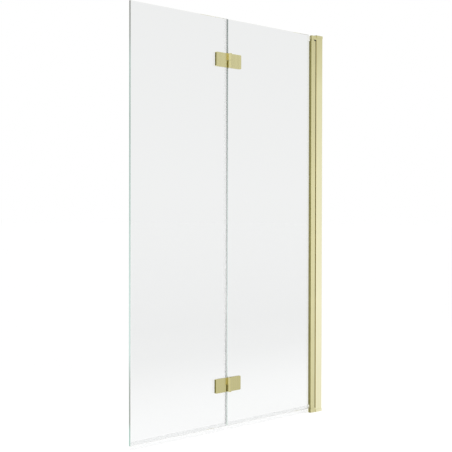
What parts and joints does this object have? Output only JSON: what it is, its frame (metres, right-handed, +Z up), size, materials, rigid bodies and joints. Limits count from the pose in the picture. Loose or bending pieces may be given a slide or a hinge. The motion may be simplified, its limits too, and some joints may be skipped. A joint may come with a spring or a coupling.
{
  "type": "bath screen",
  "caption": "Folding clear-glass bath screen with a brushed brass wall profile, a pivoting inner panel, a hinged outer panel and wiper seals at the rim.",
  "frame": {"origin": "on the wall face, in the middle plane of the glass, at the height of the bath rim", "axes": "+X into the wall (the screen runs along -X), -Y is the side that the panels swing and fold to, +Z up"},
  "size_m": [1, 0.0385, 1.4],
  "materials": {
    "profile_brass": "brushed, pale brass coloured, anodised",
    "fitting_brass": "brushed, pale",
    "steel": "satin",
    "clear_glass": "clear, ground edges",
    "clear_seal": "clear, flexible",
    "nylon": "plain",
    "soft_rubber": "matt"
  },
  "bodies": {
    "wall_frame": {"wall_channel": "profile_brass", "hinge_post": "profile_brass", "top_pivot_block": "fitting_brass", "bottom_pivot_block": "fitting_brass", "top_post_cap": "fitting_brass", "bottom_post_cap": "fitting_brass", "pivot_pins": "steel", "gap_seal": "soft_rubber"},
    "inner_panel": {"pivot_profile": "profile_brass", "top_pivot_plug": "fitting_brass", "bottom_pivot_plug": "fitting_brass", "pivot_bushes": "nylon", "glazing_gasket": "soft_rubber", "inner_glass": "clear_glass", "inner_bottom_seal": "clear_seal", "upper_inner_leaf": "fitting_brass", "lower_inner_leaf": "fitting_brass", "inner_clamp_plates": "fitting_brass", "inner_hinge_pads": "soft_rubber", "inner_clamp_screws": "steel", "hinge_pins": "steel"},
    "outer_panel": {"outer_glass": "clear_glass", "outer_bottom_seal": "clear_seal", "upper_outer_leaf": "fitting_brass", "lower_outer_leaf": "fitting_brass", "outer_clamp_plates": "fitting_brass", "outer_hinge_pads": "soft_rubber", "outer_clamp_screws": "steel", "knuckle_bushes": "nylon", "joint_seal_top": "clear_seal", "joint_seal_middle": "clear_seal", "joint_seal_bottom": "clear_seal"}
  },
  "joints": [
    {"name": "wall_swing", "type": "hinge", "parent": "wall_frame", "child": "inner_panel", "pos_m": [-0.0495, -0.007, 0.7], "axis": [0, 0, 1], "range_deg": [0, 90]},
    {"name": "panel_fold", "type": "hinge", "parent": "inner_panel", "child": "outer_panel", "pos_m": [-0.5375, -0.016, 0.7], "axis": [0, 0, 1], "range_deg": [0, 180]}
  ]
}
